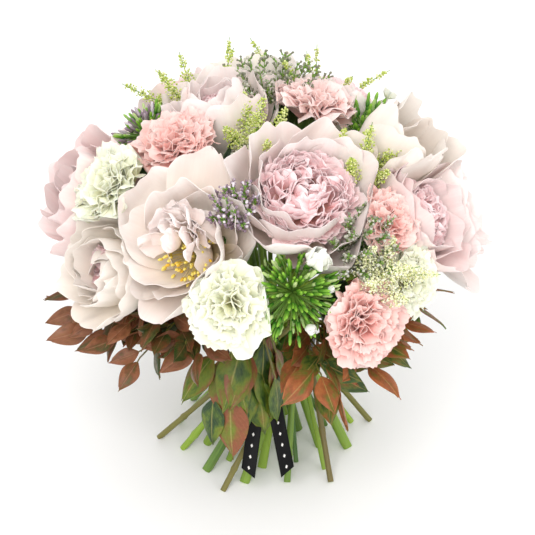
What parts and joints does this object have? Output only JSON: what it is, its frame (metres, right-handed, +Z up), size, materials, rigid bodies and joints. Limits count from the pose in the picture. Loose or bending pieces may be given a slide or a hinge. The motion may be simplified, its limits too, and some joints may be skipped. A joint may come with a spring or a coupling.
{
  "type": "hand-tied bunch of peonies and mixed flowers",
  "caption": "Domed hand-tied bunch of cut peonies with carnations, phlox, sea lavender and astilbe over a leaf collar, tied at a spiral waist and standing on its stems.",
  "frame": {"origin": "under the middle of the whole bunch, on the plane that the cut stem ends stand on", "axes": "+Z up from the cut stem ends to the flowers, -Y towards the front of the bunch, where the ribbon is tied, +X to the right seen from the front"},
  "size_m": [0.3578, 0.356, 0.3434],
  "materials": {
    "peony_petals": "thin satin petals, blush white with a pink ruffled centre",
    "carnation_pink_petals": "matt frilled petals, salmon pink",
    "carnation_cream_petals": "matt frilled petals, cream with a green tint",
    "phlox_buds": "waxy bright green buds with a few white florets",
    "sea_lavender": "dry mauve-grey florets on fine green branches",
    "astilbe_plume": "fine beaded plumes, cream to lime green",
    "green_stem": "smooth waxy green stem, cut ends paler",
    "collar_leaves": "semi-gloss leaves, green flushed with red-brown",
    "twine": "matt natural fibre twine",
    "ribbon_satin": "black satin ribbon, plain"
  },
  "bodies": {
    "root": {"peony_front_centre": "peony_petals", "peony_front_centre_stem": "green_stem", "peony_front_left": "peony_petals", "peony_front_left_stem": "green_stem", "peony_left_low": "peony_petals", "peony_left_low_stem": "green_stem", "peony_left_high": "peony_petals", "peony_left_high_stem": "green_stem", "peony_top_left": "peony_petals", "peony_top_left_stem": "green_stem", "peony_right": "peony_petals", "peony_right_stem": "green_stem", "peony_right_low": "peony_petals", "peony_right_low_stem": "green_stem", "peony_right_high": "peony_petals", "peony_right_high_stem": "green_stem", "peony_back_right": "peony_petals", "peony_back_right_stem": "green_stem", "peony_back_left": "peony_petals", "peony_back_left_stem": "green_stem", "peony_back_top": "peony_petals", "peony_back_top_stem": "green_stem", "carnation_pink_top_left": "carnation_pink_petals", "carnation_pink_top_left_stem": "green_stem", "carnation_pink_top_right": "carnation_pink_petals", "carnation_pink_top_right_stem": "green_stem", "carnation_pink_front": "carnation_pink_petals", "carnation_pink_front_stem": "green_stem", "carnation_pink_right": "carnation_pink_petals", "carnation_pink_right_stem": "green_stem", "carnation_cream_left": "carnation_cream_petals", "carnation_cream_left_stem": "green_stem", "carnation_cream_front": "carnation_cream_petals", "carnation_cream_front_stem": "green_stem", "carnation_cream_right": "carnation_cream_petals", "carnation_cream_right_stem": "green_stem", "carnation_pink_back": "carnation_pink_petals", "carnation_pink_back_stem": "green_stem", "carnation_cream_back": "carnation_cream_petals", "carnation_cream_back_stem": "green_stem", "phlox_front": "phlox_buds", "phlox_right": "phlox_buds", "phlox_left": "phlox_buds", "statice_front_right": "sea_lavender", "statice_front_left": "sea_lavender", "statice_top": "sea_lavender", "statice_back": "sea_lavender", "astilbe_crown": "astilbe_plume", "astilbe_right": "astilbe_plume", "astilbe_front_right": "astilbe_plume", "astilbe_back_left": "astilbe_plume", "astilbe_back_right": "astilbe_plume", "foliage_front_left": "collar_leaves", "foliage_front_centre": "collar_leaves", "foliage_front_right": "collar_leaves", "foliage_right": "collar_leaves", "foliage_back": "collar_leaves", "foliage_left": "collar_leaves", "binding_twine": "twine", "ribbon": "ribbon_satin"}
  },
  "joints": []
}
